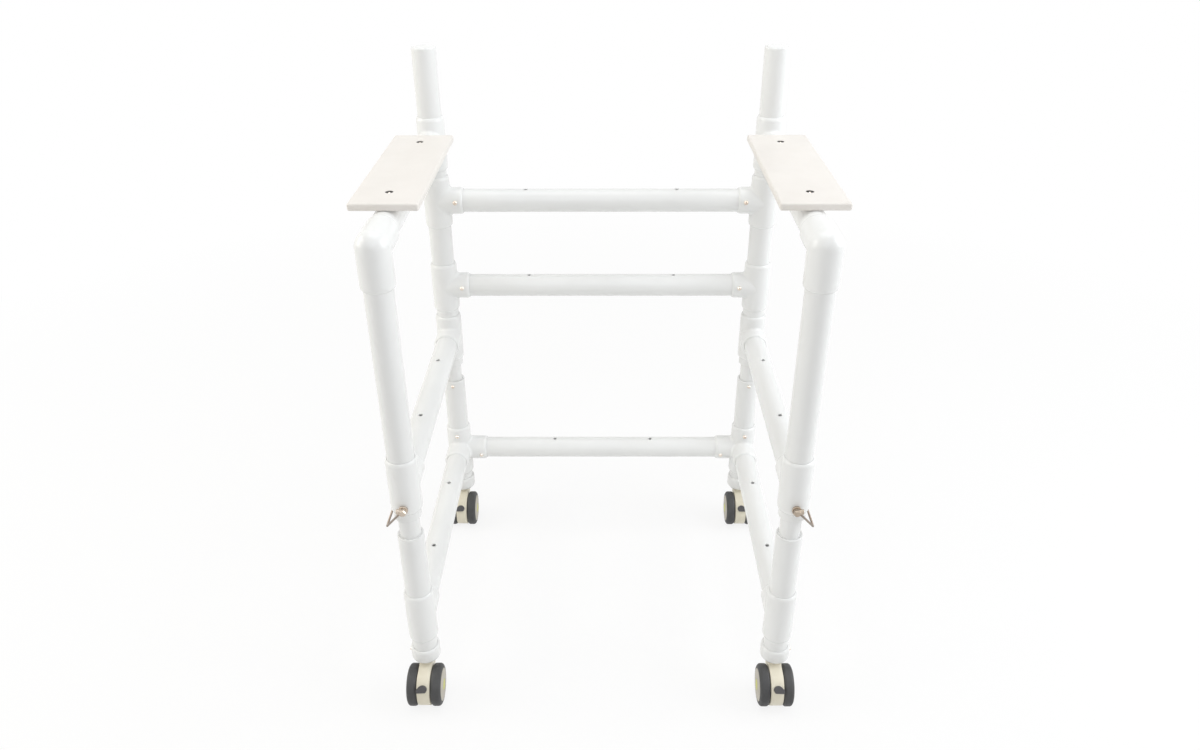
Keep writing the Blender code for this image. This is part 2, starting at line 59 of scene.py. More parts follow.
sides = {"left": -1, "right": 1}
side_x = 0.300
leg_spacing = 0.490
front_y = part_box("lower_cross_bar")[0].y + pipe_radius
rear_y = front_y - leg_spacing
ends = {"rear": rear_y, "front": front_y}
inner_way = {"rear": 1, "front": -1}
corners = [(end, side) for end in ends for side in sides]

lower_rail_z = 0.177
leg_stop = 0.0243
lower_leg_top = 0.347
leg_rim = 0.0030
leg_screw_drop = 0.0095
small_head = 0.0034
tube_overlap = 0.100
inner_tube_top = 0.5894
bush_radius = pipe_bore + 0.0009
bush_length = 0.0290
bush_depth = 0.030
pin_z = 0.412
hole_pitch = 0.0254
hole_count = 7
pin_hole_radius = 0.0044
drill_clear = 0.004


def eased(row, steps=5):
    """Rounds each inner corner of a row of (place, ease) pairs. Places have two or three coordinates."""
    places = [Vector(place) for place, ease in row]
    out = []
    for number, here in enumerate(places):
        ease = row[number][1]
        if ease == 0 or number in (0, len(row) - 1):
            out.append(here)
            continue
        to_last = places[number - 1] - here
        to_next = places[number + 1] - here
        reach = min(ease, to_last.length * 0.49, to_next.length * 0.49)
        start = here + to_last.normalized() * reach
        end = here + to_next.normalized() * reach
        for step in range(steps + 1):
            t = step / steps
            out.append(start * (1 - t) ** 2 + here * 2 * t * (1 - t) + end * t ** 2)
    return out


def eased_ring(row):
    """The same for a closed outline. Its first place lies on a straight stretch and isn't rounded."""
    return eased(row + row[:1])[:-1]


def along(direction):
    """The rotation that takes Z to a direction."""
    return Vector(direction).to_track_quat("Z", "Y").to_matrix().to_4x4()


def lathe(work, profile, turn, around=64, ring=False):
    """Turns (radius, height) points about the Z of a matrix, into a bmesh. A ring's outline is closed."""
    rings = []
    for radius, height in profile:
        count = 1 if radius < 1e-6 else around
        rings.append([
            work.verts.new(turn @ Vector((radius * math.cos(i * math.tau / count),
                                          radius * math.sin(i * math.tau / count), height)))
            for i in range(count)
        ])
    pairs = list(zip(rings, rings[1:]))
    if ring:
        pairs.append((rings[-1], rings[0]))
    for low, high in pairs:
        for i in range(around):
            j = (i + 1) % around
            quad = [low[i % len(low)], low[j % len(low)], high[j % len(high)], high[i % len(high)]]
            quad = list(dict.fromkeys(quad))
            if len(quad) > 2:
                work.faces.new(quad)


def finished(name, work, material, body, nodes=(), crease=32, turn_faces=True):
    """Makes a bmesh a smooth piece with its material, on its body, in place of its CAD nodes."""
    if turn_faces:
        bmesh.ops.recalc_face_normals(work, faces=work.faces)
    mesh = bpy.data.meshes.new(name)
    work.to_mesh(mesh)
    work.free()
    mesh.shade_smooth()
    mesh.set_sharp_from_angle(angle=math.radians(crease))
    mesh.materials.append(material)
    piece = bpy.data.objects.new(name, mesh)
    bpy.context.scene.collection.objects.link(piece)
    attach(piece, body)
    if nodes:
        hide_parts(*nodes)
    return piece


def drilled(work, holes, around=24):
    """Cuts round holes, each (start, end, radius), through a closed bmesh. Returns a new bmesh."""
    cut = bmesh.new()
    for start, end, radius in holes:
        start = Vector(start)
        run = Vector(end) - start
        drill = [(0, 0), (radius, 0), (radius, run.length), (0, run.length)]
        lathe(cut, drill, Matrix.Translation(start) @ along(run), around)
    pair = []
    for label, part in (("body", work), ("cutter", cut)):
        bmesh.ops.recalc_face_normals(part, faces=part.faces)
        mesh = bpy.data.meshes.new(label)
        part.to_mesh(mesh)
        part.free()
        pair.append(bpy.data.objects.new(label, mesh))
        bpy.context.scene.collection.objects.link(pair[-1])
    step = pair[0].modifiers.new("holes", "BOOLEAN")
    step.operation = "DIFFERENCE"
    step.solver = "EXACT"
    step.object = pair[1]
    shape = bpy.data.meshes.new_from_object(pair[0].evaluated_get(bpy.context.evaluated_depsgraph_get()))
    result = bmesh.new()
    result.from_mesh(shape)
    for made in pair:
        bpy.data.objects.remove(made)
    return result


def moulded(name, light, dark, roughness, spread, grain_scale, grain_depth, metallic=0.0):
    """Plastic or metal with cloudy colour, patchy gloss and a fine grain, all from noise in its own space."""
    cloud_scale = 14
    patch_scale = 60
    noise_low = 0.35
    noise_high = 0.65
    material = bpy.data.materials.new(name)
    material.use_nodes = True
    nodes = material.node_tree.nodes
    links = material.node_tree.links
    shader = nodes["Principled BSDF"]
    shader.inputs["Metallic"].default_value = metallic
    place = nodes.new("ShaderNodeTexCoord")

    def noise(scale, detail):
        made = nodes.new("ShaderNodeTexNoise")
        made.inputs["Scale"].default_value = scale
        made.inputs["Detail"].default_value = detail
        links.new(place.outputs["Object"], made.inputs["Vector"])
        return made.outputs["Fac"]

    tone = nodes.new("ShaderNodeValToRGB")
    tone.color_ramp.elements[0].position = noise_low
    tone.color_ramp.elements[0].color = (*dark, 1)
    tone.color_ramp.elements[1].position = noise_high
    tone.color_ramp.elements[1].color = (*light, 1)
    links.new(noise(cloud_scale, 4), tone.inputs["Fac"])
    links.new(tone.outputs["Color"], shader.inputs["Base Color"])
    gloss = nodes.new("ShaderNodeMapRange")
    gloss.inputs["From Min"].default_value = noise_low
    gloss.inputs["From Max"].default_value = noise_high
    gloss.inputs["To Min"].default_value = roughness - spread
    gloss.inputs["To Max"].default_value = roughness + spread
    links.new(noise(patch_scale, 6), gloss.inputs["Value"])
    links.new(gloss.outputs["Result"], shader.inputs["Roughness"])
    grain = nodes.new("ShaderNodeBump")
    grain.inputs["Strength"].default_value = grain_depth
    grain.inputs["Distance"].default_value = 0.0002
    links.new(noise(grain_scale, 3), grain.inputs["Height"])
    links.new(grain.outputs["Normal"], shader.inputs["Normal"])
    return material


pipe_white = moulded("white_pipe", (0.865, 0.87, 0.865), (0.85, 0.855, 0.85), 0.24, 0.02, 160, 0.03)


def pipe(name, start, end, body, nodes=(), outer=pipe_radius, bore=pipe_bore, holes=(), edge=0.0008):
    """A pipe with eased rims and holes, each (distance from the start, direction, radius, both walls)."""
    start = Vector(start)
    end = Vector(end)
    length = (end - start).length
    turn = Matrix.Translation(start) @ along(end - start)
    work = bmesh.new()
    profile = eased_ring([
        ((bore, length / 2), 0), ((bore, length), edge / 2), ((outer, length), edge), ((outer, 0), edge),
        ((bore, 0), edge / 2),
    ])
    lathe(work, profile, turn, ring=True)
    if holes:
        cuts = []
        for distance, direction, radius, through in holes:
            middle = start + (end - start).normalized() * distance
            reach = Vector(direction) * (outer + drill_clear)
            cuts.append((middle - reach if through else middle, middle + reach, radius))
        work = drilled(work, cuts)
    return finished(name, work, pipe_white, body, nodes)


screw_steel = moulded("screw_steel", (0.90, 0.84, 0.77), (0.72, 0.62, 0.53), 0.24, 0.08, 400, 0.10,
                      metallic=1.0)


def screw(name, place, outward, body, head=0.0041, height=0.0026):
    """A pan-head screw with a round recess. Its head stands on a surface at a place, facing outward."""
    turn = Matrix.Translation(Vector(place)) @ along(outward)
    work = bmesh.new()
    lathe(work, eased([
        ((0, -0.001), 0), ((head, -0.001), 0), ((head, height * 0.35), height * 0.5),
        ((head * 0.58, height), 0.0004), ((head * 0.36, height), 0.0001), ((head * 0.22, height * 0.45), 0),
        ((0, height * 0.40), 0),
    ]), turn, 32)
    return finished(name, work, screw_steel, body)


for end, side in corners:
    x = sides[side] * side_x
    y = ends[end]
    pipe(f"lower_leg_pipe_{end}_{side}", (x, y, lower_rail_z + leg_stop), (x, y, lower_leg_top),
         "lower_frame", [f"lower_leg_{end}_{side}"], edge=leg_rim)
    tube_foot = lower_leg_top - tube_overlap
    pin_holes = [
        (pin_z + number * hole_pitch - tube_foot, (0, 1, 0), pin_hole_radius, True)
        for number in range(hole_count)
    ]
    pipe(f"inner_tube_{end}_{side}", (x, y, tube_foot), (x, y, inner_tube_top), "lower_frame",
         [f"lower_leg_{end}_{side}"], outer=tube_radius, bore=tube_bore, holes=pin_holes)
    work = bmesh.new()
    bush = eased_ring([
        ((tube_radius, 0.001), 0), ((tube_radius, 0), 0), ((bush_radius, 0), 0),
        ((bush_radius, bush_length), 0), ((tube_radius, bush_length), 0),
    ])
    lathe(work, bush, Matrix.Translation((x, y, lower_leg_top - bush_depth)), ring=True)
    finished(f"leg_bush_{end}_{side}", work, pipe_white, "lower_frame")
    inward = inner_way[end]
    screw(f"leg_screw_{end}_{side}", (x, y + inward * pipe_radius, lower_leg_top - leg_screw_drop),
          (0, inward, 0), "lower_frame", head=small_head)


# Lower fittings. Four-way corners at the front and tees at the rear, injection-moulded in white PVC with
# chamfered sockets and filleted branches. The pipes are cemented into them, and small screws lock the cement.

fitting_radius = 0.0246
branch_relief = 0.00015
fillet_radius = 0.0055
lip_height = 0.0050
lip_radius = 0.0217
lip_ease = 0.0030
mouth_gap = 0.0003
mouth_bevel = 0.0006
socket_gap = 0.0001
lower_reach = 0.050
corner_reach = 0.058
branch_reach = 0.0485
corner_screw_rise = 0.041
corner_screw_way = (1, 0)
lower_screw_in = 0.0475
lower_screw_drop = 0.005
lower_screw_way = (0.98, -0.2)
fitting_white = moulded("white_fitting", (0.88, 0.885, 0.88), (0.865, 0.87, 0.865), 0.22, 0.02, 200, 0.04)


def hub_end(height, sign=1):
    """The corners of a socket's mouth, from its outer wall in to the pipe, for eased()."""
    return [
        ((fitting_radius, height - sign * lip_height), lip_ease),
        ((fitting_radius - 0.0011, height - sign * 0.0019), 0.0014),
        ((lip_radius, height), 0.0004),
        ((pipe_radius + mouth_gap, height), 0.0001),
        ((pipe_radius + socket_gap, height - sign * mouth_bevel), 0),
    ]


def fillet(work, centre, run, branch, radius, half=False, around=64, steps=7):
    """The rounding that a ball leaves where a branch grows from a run. Half keeps the run's own side only."""
    run = Vector(run)
    branch = Vector(branch)
    across = run.cross(branch)
    outer_run = fitting_radius + radius
    outer_branch = fitting_radius - branch_relief + radius
    strips = []
    for step in range(around + 1):
        angle = -math.pi / 2 + math.pi * step / around if half else math.tau * step / around
        x = outer_branch * math.sin(angle)
        z = outer_branch * math.cos(angle)
        y = math.sqrt(max(outer_run ** 2 - x ** 2, 0))
        ball = Vector((x, y, z))
        on_branch = Vector((x * (1 - radius / outer_branch), y, z * (1 - radius / outer_branch)))
        on_run = Vector((x * (1 - radius / outer_run), y * (1 - radius / outer_run), z))
        first = (on_branch - ball).normalized()
        last = (on_run - ball).normalized()
        bend = first.angle(last, 0)
        strip = []
        for part in range(steps + 1):
            t = part / steps
            if bend < 1e-4:
                direction = first
            else:
                direction = (first * math.sin((1 - t) * bend) + last * math.sin(t * bend)) / math.sin(bend)
            point = ball + direction * radius
            strip.append(work.verts.new(Vector(centre) + across * point.x + branch * point.y + run * point.z))
        strips.append(strip)
    for before, after in zip(strips, strips[1:]):
        for low in range(steps):
            face = work.faces.new([before[low], before[low + 1], after[low + 1], after[low]])
            middle = face.calc_center_median() - Vector(centre)
            face.normal_update()
            outward = middle - run * middle.dot(run) * 0.5 - branch * middle.dot(branch) * 0.5
            if face.normal.dot(outward) < 0:
                face.normal_flip()


def branched(name, centre, top, bottom, branches, body, nodes, holes=(), pairs=()):
    """A fitting with an upright run and side branches, each (direction, reach).

    Pairs are of branches that meet in a fillet of their own.
    """
    centre = Vector(centre)
    stand = Matrix.Translation(centre)
    work = bmesh.new()
    lathe(work, eased(hub_end(top)[::-1] + hub_end(bottom, -1)), stand, ring=True)
    if holes:
        work = drilled(work, holes)
    wall = fitting_radius - branch_relief
    for direction, reach in branches:
        mouth = [((wall, 0), 0), ((wall, reach - lip_height), lip_ease)] + hub_end(reach)[1:]
        lathe(work, eased(mouth), stand @ along(direction))
    bmesh.ops.recalc_face_normals(work, faces=work.faces)
    for direction, reach in branches:
        fillet(work, centre, (0, 0, 1), direction, fillet_radius)
    for first, second in pairs:
        fillet(work, centre, first, second, fillet_radius, half=True)
    return finished(name, work, fitting_white, body, nodes, turn_faces=False)


def back_screw(name, x, z, way, body):
    """A screw on the back of a front fitting. Its way is how far it faces back and up."""
    back, rise = way
    return screw(name, (x, front_y - fitting_radius * back, z), (0, -back, rise), body)


for side, sign in sides.items():
    x = sign * side_x
    inward = (-sign, 0, 0)
    backward = (0, -1, 0)
    branched(f"lower_side_tee_{side}_shell", (x, rear_y, lower_rail_z), lower_reach, -lower_reach,
             [((0, 1, 0), branch_reach)], "lower_frame", [f"lower_side_tee_{side}"])
    branched(f"lower_corner_{side}_shell", (x, front_y, lower_rail_z), corner_reach, -corner_reach,
             [(backward, corner_reach), (inward, corner_reach)], "lower_frame",
             [f"lower_corner_fitting_{side}"], pairs=[(inward, backward)])
    back_screw(f"corner_screw_{side}", x, lower_rail_z + corner_screw_rise, corner_screw_way, "lower_frame")
    back_screw(f"lower_bar_screw_{side}", x - sign * lower_screw_in, lower_rail_z - lower_screw_drop,
               lower_screw_way, "lower_frame")


# Lower rails and the lower cross bar. The same PVC pipe, cemented into the fittings from stop to stop. Water
# drains and enters through two small drilled holes along the top of each pipe.

tee_stop = 0.0239
corner_stop = 0.0255
drain_radius = 0.0038
lower_rail_drains = (-0.0985, 0.0895)
lower_bar_drains = (-0.0975, 0.1040)


def barrel(name, start, end, drains, body, nodes):
    """A level pipe with drain holes through its top, at places measured from its middle."""
    length = (Vector(end) - Vector(start)).length
    holes = [(length / 2 + place, (0, 0, 1), drain_radius, False) for place in drains]
    return pipe(name, start, end, body, nodes, holes=holes)


for side, sign in sides.items():
    x = sign * side_x
    barrel(f"lower_rail_{side}_pipe", (x, rear_y + tee_stop, lower_rail_z),
           (x, front_y - corner_stop, lower_rail_z), lower_rail_drains, "lower_frame",
           [f"lower_side_rail_{side}"])
barrel("lower_bar_pipe", (corner_stop - side_x, front_y, lower_rail_z),
       (side_x - corner_stop, front_y, lower_rail_z), lower_bar_drains, "lower_frame", ["lower_cross_bar"])


# Caster caps. White PVC caps on short pipes under the lower fittings, with a chamfered foot. The caster's
# steel stem turns in a hole in the cap's floor, and one small screw holds the cap on its pipe.

cap_foot = 0.077
cap_floor = 0.005
cap_top = 0.106
cap_screw_drop = 0.0135
stem_hole = 0.0055
short_pipe_foot = cap_foot + 0.0175
short_pipe_in = 0.020
steel_dark = moulded("caster_steel", (0.55, 0.53, 0.50), (0.40, 0.38, 0.36), 0.35, 0.10, 300, 0.12,
                     metallic=1.0)
cap_outline = eased_ring([
    ((stem_hole, cap_foot + 0.002), 0), ((stem_hole, cap_foot), 0.0004),
    ((fitting_radius - 0.0045, cap_foot), 0.0020), ((fitting_radius, cap_foot + 0.0050), 0.0030),
    ((fitting_radius, cap_top - 0.0045), 0.0026), ((fitting_radius - 0.0008, cap_top - 0.0020), 0.0012),
    ((lip_radius + 0.0002, cap_top), 0.0006), ((pipe_radius + mouth_gap, cap_top), 0.0001),
    ((pipe_radius + socket_gap, cap_top - mouth_bevel), 0),
    ((pipe_radius + socket_gap, cap_foot + cap_floor), 0), ((stem_hole, cap_foot + cap_floor), 0),
])
stem_outline = eased([
    ((0, 0.094), 0), ((0.0085, 0.094), 0.0012), ((0.0085, 0.0824), 0.0004), ((0.0050, 0.0824), 0),
    ((0.0050, 0.0766), 0), ((0.0084, 0.0766), 0.0005), ((0.0084, 0.0705), 0), ((0, 0.0705), 0),
])
for end, side in corners:
    x = sides[side] * side_x
    y = ends[end]
    reach = lower_reach if end == "rear" else corner_reach
    pipe(f"short_pipe_{end}_{side}", (x, y, short_pipe_foot), (x, y, lower_rail_z - reach + short_pipe_in),
         "lower_frame")
    stand = Matrix.Translation((x, y, 0))
    work = bmesh.new()
    lathe(work, cap_outline, stand, ring=True)
    finished(f"cap_{end}_{side}", work, fitting_white, "lower_frame", [f"caster_cap_{end}_{side}"])
    work = bmesh.new()
    lathe(work, stem_outline, stand, 48)
    finished(f"caster_stem_{end}_{side}", work, steel_dark, f"caster_{end}_{side}",
             [f"caster_hood_{end}_{side}"])
    screw(f"cap_screw_{end}_{side}", (x + sides[side] * fitting_radius, y, cap_top - cap_screw_drop),
          (sides[side], 0, 0), "lower_frame", head=small_head)


# Upper tees, posts and elbows. White PVC like the lower fittings. Each leg's lowest tee carries a short
# sleeve that slides on the inner tube, and hub, sleeve and tube are drilled through for the lock pin.

upper_rail_z = 0.4455
middle_bar_z = 0.554
top_bar_z = 0.724
armrest_z = 0.831
tee_reach = 0.048
sleeve_end = 0.383
sleeve_stop = 0.0236
sleeve_rim = 0.0012
tee_screw_in = 0.0355
tee_screw_rise = 0.0035
tee_screw_way = (0.99, 0.14)
elbow_reach = 0.060
elbow_fillet = 0.008
dome_steps = 16
for side, sign in sides.items():
    x = sign * side_x
    inward = (-sign, 0, 0)
    for end, y in ends.items():
        reach = fitting_radius + drill_clear
        hole = ((x, y - reach, pin_z), (x, y + reach, pin_z), pin_hole_radius)
        node = f"upper_side_tee_{side}" if end == "rear" else f"post_lower_tees_{side}"
        branched(f"leg_tee_{end}_{side}", (x, y, upper_rail_z), tee_reach, -tee_reach,
                 [((0, inner_way[end], 0), branch_reach)], "upper_frame", [node], [hole])
        pipe(f"sleeve_{end}_{side}", (x, y, sleeve_end), (x, y, upper_rail_z - sleeve_stop), "upper_frame",
             [node], holes=[(pin_z - sleeve_end, (0, 1, 0), pin_hole_radius, True)], edge=sleeve_rim)
    lower_node = [f"post_lower_tees_{side}"]
    upper_node = [f"post_upper_tees_{side}"]
    for name, height, direction, node in (
        ("middle_bar_tee", middle_bar_z, inward, lower_node),
        ("top_bar_tee", top_bar_z, inward, upper_node),
        ("armrest_tee", armrest_z, (0, -1, 0), upper_node),
    ):
        branched(f"{name}_{side}", (x, front_y, height), tee_reach, -tee_reach,
                 [(direction, branch_reach)], "upper_frame", node)
    for name, low, high, node in (
        ("low_post_pipe", upper_rail_z, middle_bar_z, lower_node),
        ("long_post_pipe", middle_bar_z, top_bar_z, upper_node),
        ("high_post_pipe", top_bar_z, armrest_z, upper_node),
    ):
        pipe(f"{name}_{side}", (x, front_y, low + tee_stop), (x, front_y, high - tee_stop), "upper_frame",
             node)
    for name, height in (("middle", middle_bar_z), ("top", top_bar_z)):
        back_screw(f"{name}_bar_screw_{side}", x - sign * tee_screw_in, height + tee_screw_rise,
                   tee_screw_way, "upper_frame")
    place = (x, rear_y, armrest_z)
    quarter = [math.pi / 2 * i / dome_steps for i in range(1, dome_steps)]
    dome = [(fitting_radius * math.cos(angle), fitting_radius * math.sin(angle)) for angle in quarter]
    leg_socket = eased(hub_end(-elbow_reach, -1)[::-1] + [((fitting_radius, 0), 0)])
    rail_socket = eased([((fitting_radius, 0), 0)] + hub_end(elbow_reach))
    work = bmesh.new()
    lathe(work, leg_socket + dome + [(0, fitting_radius)], Matrix.Translation(place))
    lathe(work, rail_socket, Matrix.Translation(place) @ along((0, 1, 0)))
    bmesh.ops.recalc_face_normals(work, faces=work.faces)
    fillet(work, place, (0, 0, -1), (0, 1, 0), elbow_fillet, half=True)
    finished(f"elbow_{side}_shell", work, fitting_white, "upper_frame", [f"elbow_{side}"],
             turn_faces=False)


# Upper rails, cross bars, rear legs and handle posts. White PVC pipe, cemented from stop to stop. The side
# rails and cross bars have drain holes, and each handle post is closed by a flat plug pressed into its top.

handle_top = 0.996
handle_rim = 0.0014
plug_rise = 0.0008
plug_depth = 0.012
elbow_stop = 0.0275
upper_rail_drains = (-0.0860, 0.1030)
upper_bar_drains = (-0.1370, 0.1395)
plug_outline = eased([
    ((0, handle_top - plug_depth), 0), ((pipe_bore, handle_top - plug_depth), 0.0005),
    ((pipe_bore, handle_top - 0.0001), 0.0007), ((0, handle_top - 0.0001), 0),
])
for side, sign in sides.items():
    x = sign * side_x
    barrel(f"upper_rail_{side}_pipe", (x, rear_y + tee_stop, upper_rail_z),
           (x, front_y - tee_stop, upper_rail_z), upper_rail_drains, "upper_frame",
           [f"upper_side_rail_{side}"])
    pipe(f"armrest_rail_{side}_pipe", (x, rear_y + elbow_stop, armrest_z), (x, front_y - tee_stop, armrest_z),
         "upper_frame", [f"armrest_rail_{side}"])
    pipe(f"rear_leg_{side}_pipe", (x, rear_y, upper_rail_z + tee_stop), (x, rear_y, armrest_z - elbow_stop),
         "upper_frame", [f"rear_leg_pipe_{side}"])
    pipe(f"handle_post_{side}_pipe", (x, front_y, armrest_z + tee_stop), (x, front_y, handle_top - plug_rise),
         "upper_frame", [f"handle_post_{side}"], edge=handle_rim)
    work = bmesh.new()
    lathe(work, plug_outline, Matrix.Translation((x, front_y, 0)))
    finished(f"handle_plug_{side}", work, fitting_white, "upper_frame", [f"handle_post_{side}"])
for name, height in (("middle", middle_bar_z), ("top", top_bar_z)):
    barrel(f"{name}_bar_pipe", (tee_stop - side_x, front_y, height), (side_x - tee_stop, front_y, height),
           upper_bar_drains, "upper_frame", [f"{name}_cross_bar"])


# Armrest boards. Flat cream sheets of foamed PVC with routed, softly rounded edges, lying on the armrest
# rails. Two countersunk screws hold each board to its rail. Each is a ring of blackened steel round a pale
# steel drive, and the ring's colour is darkened further as painted shade of the gap round the head.

board_size = Vector((0.100, 0.348, 0.011))
board_corner = 0.0034
board_edge = 0.0028
board_screws = {"rear": 0.127, "front": 0.381}
countersink = 0.0061
countersink_depth = 0.014
board_cream = moulded("board_cream", (0.83, 0.795, 0.755), (0.80, 0.765, 0.725), 0.42, 0.05, 900, 0.25)
# Blackened steel, made darker still as painted shade: its colour also stands in for the gap round each head
# and its dark reflection.
board_screw_black_and_shade = moulded("board_screw_black_and_shade", (0.085, 0.08, 0.075), (0.035, 0.033, 0.031), 0.32, 0.10, 400,
                            0.10, metallic=1.0)
for side, sign in sides.items():
    x = sign * side_x
    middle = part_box(f"armrest_board_{side}")[0] + board_size / 2
    top = middle.z + board_size.z / 2
    work = bmesh.new()
    bmesh.ops.create_cube(work, size=1, matrix=Matrix.Translation(middle) @ Matrix.Diagonal((*board_size, 1)))
    upright = [edge for edge in work.edges if abs(edge.verts[0].co.z - edge.verts[1].co.z) > 0.005]
    bmesh.ops.bevel(work, geom=upright, offset=board_corner, segments=5, affect="EDGES", profile=0.5)
    level = [edge for edge in work.edges if abs(edge.verts[0].co.z - edge.verts[1].co.z) < 0.001]
    bmesh.ops.bevel(work, geom=level, offset=board_edge, segments=5, affect="EDGES", profile=0.5)
    holes = [((x, rear_y + y, top - countersink_depth), (x, rear_y + y, top + 0.002), countersink)
             for y in board_screws.values()]
    work = drilled(work, holes, 32)
    finished(f"board_{side}", work, board_cream, "upper_frame", [f"armrest_board_{side}"])
    for label, y in board_screws.items():
        stand = Matrix.Translation((x, rear_y + y, 0))
        # The head's ring, in blackened steel with painted shade of its gap. The drive in its middle is pale
        # steel.
        work = bmesh.new()
        lathe(work, eased_ring([
            ((countersink, top - 0.011), 0), ((countersink, top - 0.0006), 0.0002),
            ((countersink - 0.0008, top - 0.0003), 0.0002), ((0.0034, top - 0.0016), 0.0004),
            ((0.0026, top - 0.0022), 0), ((0, top - 0.0022), 0), ((0, top - 0.011), 0),
        ]), stand, 40, ring=True)
        finished(f"board_screw_{label}_{side}", work, board_screw_black_and_shade, "upper_frame")
        work = bmesh.new()
        lathe(work, eased([
            ((0, top - 0.0026), 0), ((0.0021, top - 0.0026), 0), ((0.0021, top - 0.0014), 0.0005),
            ((0.0012, top - 0.0008), 0.0004), ((0.0006, top - 0.0014), 0), ((0, top - 0.0014), 0),
        ]), stand, 24)
        finished(f"board_screw_drive_{label}_{side}", work, screw_steel, "upper_frame")


# Casters. Twin-wheel swivel casters: a beige nylon hood turns on the steel stem and carries the axle. A dark
# grey toe pedal on its back rocks a brake lever, and each wheel is a tan rim with a grey tread moulded on.

trail = 0.028
wheel_radius = 0.0355
wheel_width = 0.0177
wheel_dome = 0.0016
wheel_start = 0.0115
disc_radius = 0.0275
cover_radius = 0.0093
axle_radius = 0.004
axle_bore = 0.0043
half_axle = wheel_start + wheel_width - 0.0050
axle_outline = [(0, -half_axle), (axle_radius, -half_axle), (axle_radius, half_axle), (0, half_axle)]
hood_half = 0.0110
hood_radius = 0.0346
hood_top = 0.073
hood_beige = moulded("hood_beige", (0.82, 0.77, 0.63), (0.77, 0.72, 0.59), 0.40, 0.06, 600, 0.2)
tread_grey = moulded("tread_grey", (0.062, 0.062, 0.062), (0.051, 0.051, 0.053), 0.60, 0.08, 900, 0.35)
rim_tan = moulded("rim_tan", (0.51, 0.475, 0.40), (0.47, 0.435, 0.37), 0.45, 0.06, 600, 0.2)
hub_lime = moulded("hub_lime", (0.60, 0.60, 0.13), (0.55, 0.55, 0.11), 0.40, 0.06, 600, 0.2)
pedal_grey = moulded("pedal_grey", (0.085, 0.082, 0.085), (0.065, 0.063, 0.066), 0.50, 0.08, 800, 0.3)


def on_drum(degrees, radius):
    """A point in Y and Z about the axle of a caster that stands under X = 0, Y = 0."""
    angle = math.radians(degrees)
    return Vector((radius * math.cos(angle) - trail, radius * math.sin(angle) + wheel_radius))


def skinned(work, loops):
    """Joins closed loops of vertices, each to the next, and closes the first and the last."""
    count = len(loops[0])
    for low, high in zip(loops, loops[1:]):
        for i in range(count):
            j = (i + 1) % count
            work.faces.new((low[i], low[j], high[j], high[i]))
    work.faces.new(loops[0])
    work.faces.new(list(reversed(loops[-1])))


# Hood's outline: an arc about the axle, set back a little below the pedal's foot, and the stem's housing
arc_start = 108
arc_sweep = 232
arc_steps = 48
recess_start = 158
recess_depth = 0.0005
route = []
for i in range(arc_steps + 1):
    degrees = arc_start + arc_sweep * i / arc_steps
    recess = recess_depth if degrees > recess_start else 0
    route.append((on_drum(degrees, hood_radius - recess), 0))
route += [((0.011, 0.053), 0.004), ((0.011, 0.070), 0.003), ((0.008, hood_top), 0.002),
          ((-0.011, hood_top), 0.003), ((-0.016, 0.070), 0)]
hood_outline = eased(route)
hood_centre = Vector((-trail * 0.6, 0.040))
hood_edge = 0.0012
edge_middle = 0.0004
hood_slices = [
    (-hood_half, hood_edge), (edge_middle - hood_half, edge_middle), (hood_edge - hood_half, 0),
    (hood_half - hood_edge, 0), (hood_half - edge_middle, edge_middle), (hood_half, hood_edge),
]

# Pedal's outline, laid flat: a pad with a round head and a flat foot. Its arm is drawn about the axle.
pedal_foot = 154.5
pedal_radius = 0.0407
head_middle = Vector((0.0106, 0.0063))
head_radius = 0.0076
pedal_middle = Vector((0.0085, 0.0060))
pedal_outline = [Vector((0.0010, 0)), Vector((0.0002, 0.0008)), Vector((0, 0.0056)), Vector((0.0006, 0.0066))]
for degrees in range(132, -56, -9):
    angle = math.radians(degrees)
    pedal_outline.append(head_middle + Vector((math.cos(angle), math.sin(angle))) * head_radius)
pedal_outline.reverse()
pedal_slices = ((0.0010, 1), (0.0046, 1), (0.0056, 0.96), (0.0061, 0.88), (0.0058, 0.45))
arm_half = 0.0055
arm_outline = [on_drum(degrees, radius) for degrees, radius in (
    (150, 0.022), (168, 0.0205), (186, 0.022), (184, 0.0330), (154, 0.0330), (151, 0.0362), (140, 0.0362),
)]

# Outlines of a wheel's tread, rim and hub cover, with heights from the wheel's inner face outward
tread_outline = eased([
    ((disc_radius, wheel_width - 0.0040), 0), ((disc_radius, wheel_width + 0.0001), 0.0005),
    ((0.0318, wheel_width - 0.0006), 0.0026), ((wheel_radius, wheel_width - 0.0036), 0.0028),
    ((wheel_radius, 0.0034), 0.0022), ((wheel_radius - 0.0034, 0), 0.0014), ((disc_radius, 0), 0.0006),
    ((disc_radius, 0.0040), 0),
])
rim_face = [
    ((radius, wheel_width + wheel_dome * (1 - (radius / disc_radius) ** 2)), 0)
    for radius in (0.0268, 0.0240, 0.0210, 0.0180, 0.0150, 0.0120)
]
rim_outline = eased([
    ((disc_radius, 0.001), 0), ((disc_radius, wheel_width - 0.0004), 0.0003),
    ((disc_radius - 0.0003, wheel_width), 0.0002), *rim_face,
    ((cover_radius + 0.0004, wheel_width + wheel_dome * 0.88), 0.0002),
    ((cover_radius + 0.0003, wheel_width + wheel_dome * 0.55), 0), ((0, wheel_width + wheel_dome * 0.55), 0),
])
cover_outline = eased([
    ((cover_radius, wheel_width + 0.0004), 0), ((cover_radius, wheel_width + wheel_dome * 0.93), 0.0004),
    ((0.0050, wheel_width + wheel_dome * 0.985), 0), ((0, wheel_width + wheel_dome), 0),
])

